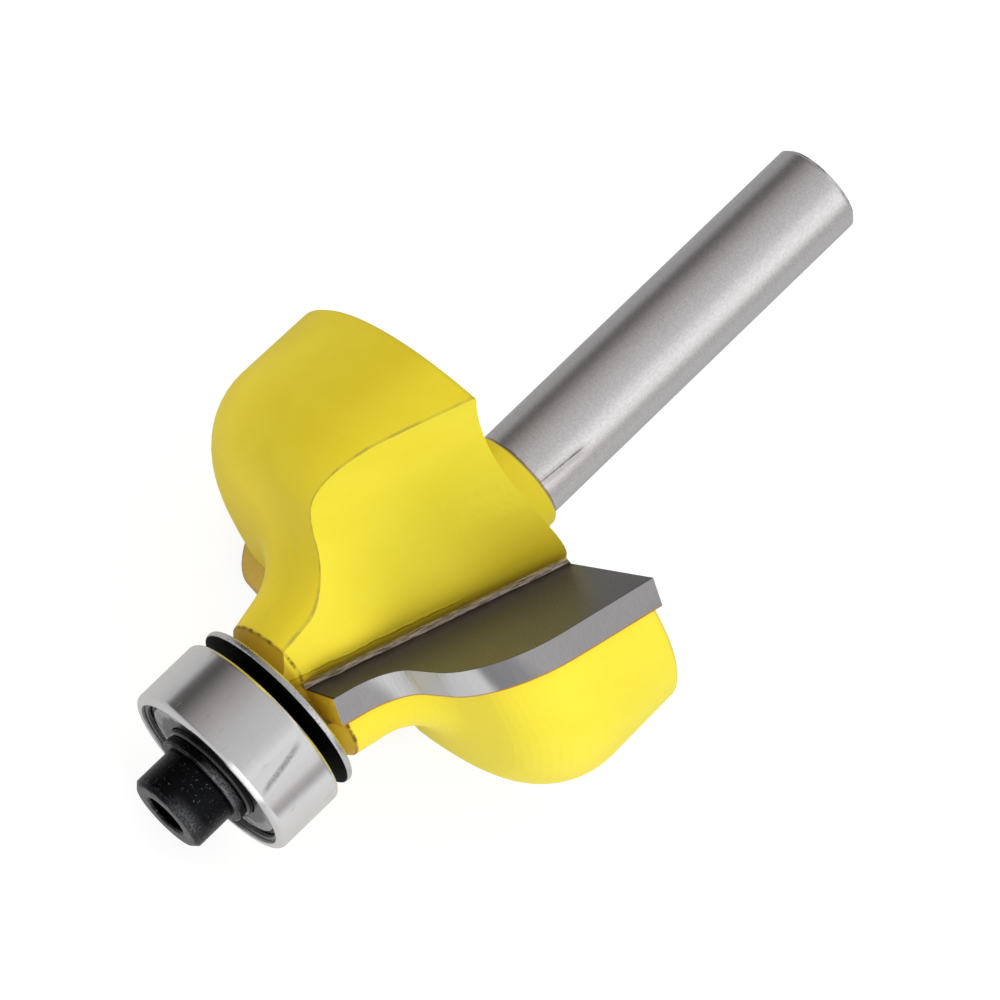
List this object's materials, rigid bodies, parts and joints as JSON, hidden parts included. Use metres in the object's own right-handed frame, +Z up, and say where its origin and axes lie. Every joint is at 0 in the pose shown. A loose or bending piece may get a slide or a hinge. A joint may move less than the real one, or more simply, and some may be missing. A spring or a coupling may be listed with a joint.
{
  "type": "router bit",
  "caption": "Ogee profile router bit with brazed carbide blades in a yellow gulleted head, a ball-bearing guide held by a cap screw at the nose, and a plain round shank.",
  "frame": {"origin": "on the surface it lies on, below the middle of its bounding box", "axes": "+Z up; +X along the lying tool, from the guide bearing towards the shank's end, which rises; +Y across it"},
  "size_m": [0.0544, 0.0326, 0.0319],
  "materials": {
    "yellow_paint": "lemon yellow baked paint, half gloss, on the head; the shank is bare ground steel",
    "carbide": "fine-ground tungsten carbide, olive grey rake face and silver-grey relief band",
    "plated_sheet": "bright plated steel sheet",
    "bearing_steel": "ground and polished bearing steel",
    "ball_steel": "polished steel",
    "cage_sheet": "pressed steel strip",
    "shield_sheet": "stamped steel sheet",
    "spring_steel": "dark spring wire",
    "black_oxide": "black oxide, worn grey on the edges"
  },
  "bodies": {
    "tool": {"cutter_body": "yellow_paint", "carbide_blade_a": "carbide", "carbide_blade_b": "carbide", "dust_shield": "plated_sheet", "bearing_inner_race": "bearing_steel", "washer": "black_oxide", "cap_screw": "black_oxide"},
    "guide_ring": {"bearing_outer_race": "bearing_steel", "bearing_shield_front": "shield_sheet", "bearing_shield_rear": "shield_sheet", "snap_ring_front": "spring_steel", "snap_ring_rear": "spring_steel"},
    "ball_train": {"ball_cage_front": "cage_sheet", "ball_cage_rear": "cage_sheet", "bearing_ball_1": "ball_steel", "bearing_ball_2": "ball_steel", "bearing_ball_3": "ball_steel", "bearing_ball_4": "ball_steel", "bearing_ball_5": "ball_steel", "bearing_ball_6": "ball_steel", "bearing_ball_7": "ball_steel"}
  },
  "joints": [
    {"name": "guide_spin", "type": "hinge", "parent": "tool", "child": "guide_ring", "pos_m": [-0.02054, 0, 0.00667], "axis": [0.9001, 0, 0.4357], "continuous": true},
    {"name": "ball_train_spin", "type": "hinge", "parent": "tool", "child": "ball_train", "pos_m": [-0.02054, 0, 0.00667], "axis": [0.9001, 0, 0.4357], "continuous": true}
  ],
  "couplings": [
    {"joint": "ball_train_spin", "follows": "guide_spin", "ratio": 0.63635}
  ]
}
